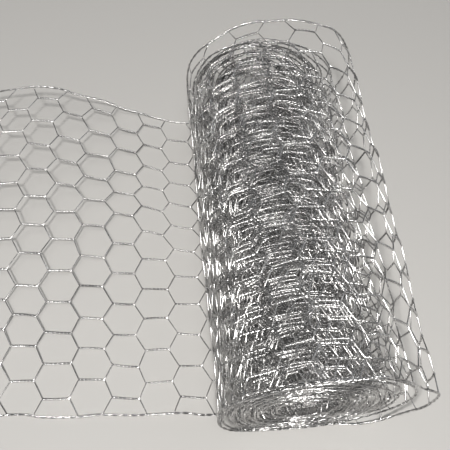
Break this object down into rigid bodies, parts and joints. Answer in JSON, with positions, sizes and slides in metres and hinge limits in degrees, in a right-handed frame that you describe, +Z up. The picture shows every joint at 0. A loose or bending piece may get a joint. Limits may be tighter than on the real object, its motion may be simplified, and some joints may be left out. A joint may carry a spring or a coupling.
{
  "type": "roll of hexagonal wire netting",
  "caption": "Loosely wound roll of galvanized hexagonal wire netting lying on its side, with an unrolled tail and a loose outer turn.",
  "frame": {"origin": "on the floor, at the middle of the whole piece's outline seen from above", "axes": "+Z up, +Y along the roll's axis, +X across it from the free end of the tail towards the roll"},
  "size_m": [0.337, 0.3136, 0.1115],
  "materials": {
    "galvanized_wire": "bright zinc, satin",
    "wound_netting": "bright zinc, satin"
  },
  "bodies": {
    "root": {"netting_roll": "wound_netting", "tail_netting": "galvanized_wire", "loose_turn": "galvanized_wire"}
  },
  "joints": []
}
